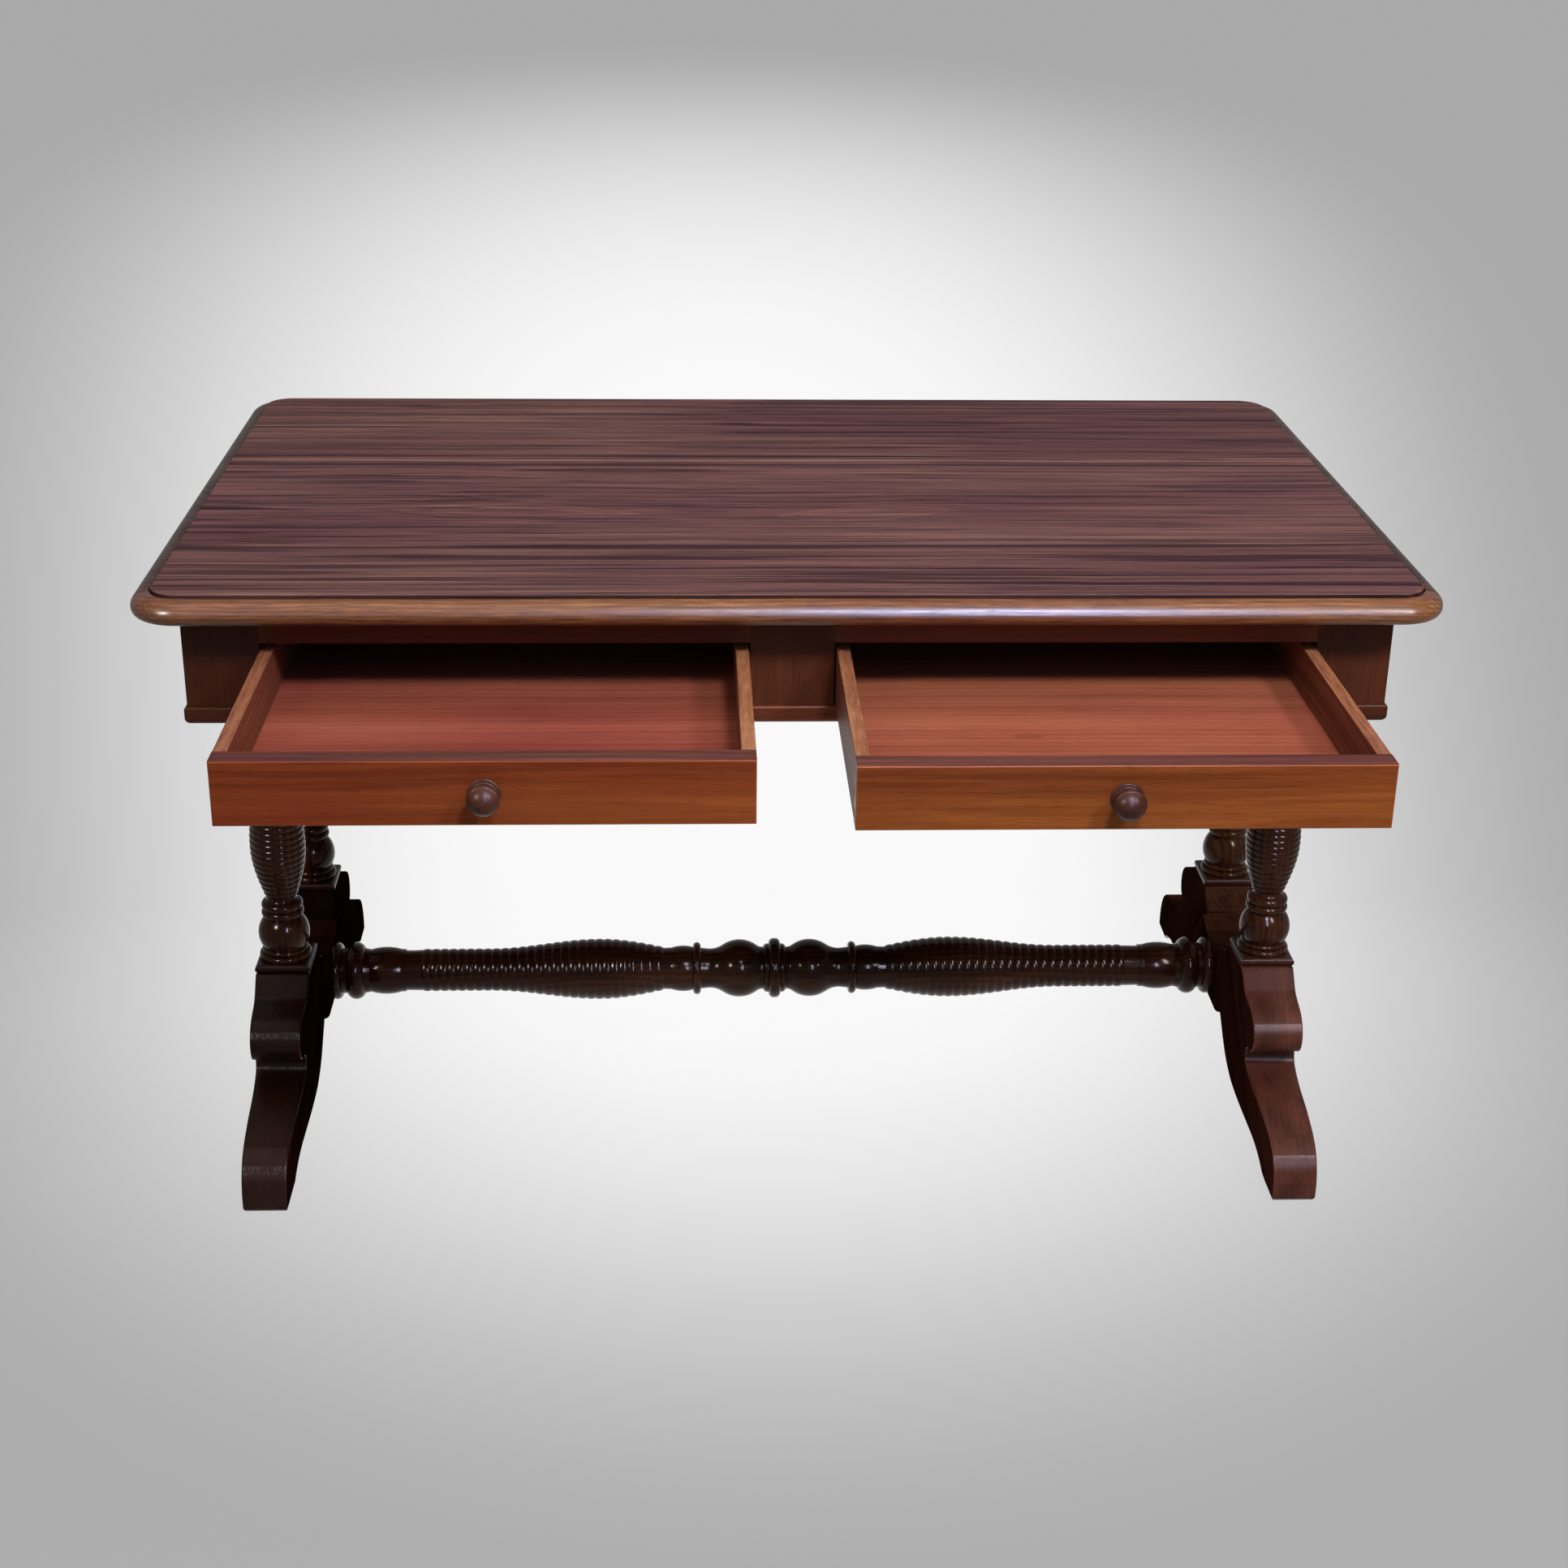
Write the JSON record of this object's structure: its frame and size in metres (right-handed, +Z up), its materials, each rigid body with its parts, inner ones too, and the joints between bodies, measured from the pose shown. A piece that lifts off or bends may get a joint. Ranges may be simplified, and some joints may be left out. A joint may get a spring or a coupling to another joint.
{
  "type": "writing table",
  "caption": "Wooden writing table: moulded top over a shallow frieze with sliding drawers, on ring-turned end posts with scrolled splayed legs, joined by a ring-turned stretcher.",
  "frame": {"origin": "on the floor, under the middle of the whole object as it stands at rest with both drawers drawn out; the middle of the table top itself is 0.150 m behind it in +Y", "axes": "+X to the right along the front, +Y from the drawer fronts to the back, +Z up"},
  "size_m": [1.35, 1.15, 0.762],
  "materials": {
    "top_wood": "satin polish",
    "frieze_wood": "satin polish",
    "turned_wood": "glossy polish",
    "leg_wood": "glossy polish",
    "drawer_front_wood": "satin polish",
    "drawer_lining_wood": "bare wood",
    "inner_wood": "bare wood",
    "knob_wood": "glossy polish",
    "screw_steel": "dull steel"
  },
  "bodies": {
    "table_frame": {"front_top_board": "top_wood", "middle_top_board": "top_wood", "rear_top_board": "top_wood", "left_top_bearer": "leg_wood", "left_centre_block": "leg_wood", "left_front_post": "turned_wood", "left_front_plinth": "leg_wood", "left_front_leg": "leg_wood", "left_rear_post": "turned_wood", "left_rear_plinth": "leg_wood", "left_rear_leg": "leg_wood", "right_top_bearer": "leg_wood", "right_centre_block": "leg_wood", "right_front_post": "turned_wood", "right_front_plinth": "leg_wood", "right_front_leg": "leg_wood", "right_rear_post": "turned_wood", "right_rear_plinth": "leg_wood", "right_rear_leg": "leg_wood", "stretcher": "turned_wood", "centre_stile": "frieze_wood", "back_apron": "frieze_wood", "front_drawer_rail": "frieze_wood", "back_moulding": "frieze_wood", "left_end_stile": "frieze_wood", "left_top_rail": "frieze_wood", "left_end_apron": "frieze_wood", "left_end_moulding": "frieze_wood", "right_end_stile": "frieze_wood", "right_top_rail": "frieze_wood", "right_end_apron": "frieze_wood", "right_end_moulding": "frieze_wood", "centre_runner": "inner_wood", "centre_guide": "inner_wood", "centre_kicker": "inner_wood", "corner_blocks": "inner_wood", "drawer_stops": "inner_wood", "left_runner": "inner_wood", "left_guide": "inner_wood", "left_kicker": "inner_wood", "right_runner": "inner_wood", "right_guide": "inner_wood", "right_kicker": "inner_wood", "top_screws": "screw_steel", "bearer_screws": "screw_steel"},
    "left_drawer": {"left_drawer_front": "drawer_front_wood", "left_drawer_left_side": "drawer_lining_wood", "left_drawer_right_side": "drawer_lining_wood", "left_drawer_back": "drawer_lining_wood", "left_drawer_bottom": "drawer_lining_wood", "left_drawer_knob": "knob_wood"},
    "right_drawer": {"right_drawer_front": "drawer_front_wood", "right_drawer_left_side": "drawer_lining_wood", "right_drawer_right_side": "drawer_lining_wood", "right_drawer_back": "drawer_lining_wood", "right_drawer_bottom": "drawer_lining_wood", "right_drawer_knob": "knob_wood"}
  },
  "joints": [
    {"name": "left_drawer_slide", "type": "slide", "parent": "table_frame", "child": "left_drawer", "axis": [0, -1, 0], "range_m": [-0.306, 0.124]},
    {"name": "right_drawer_slide", "type": "slide", "parent": "table_frame", "child": "right_drawer", "axis": [0, -1, 0], "range_m": [-0.322, 0.108]}
  ]
}
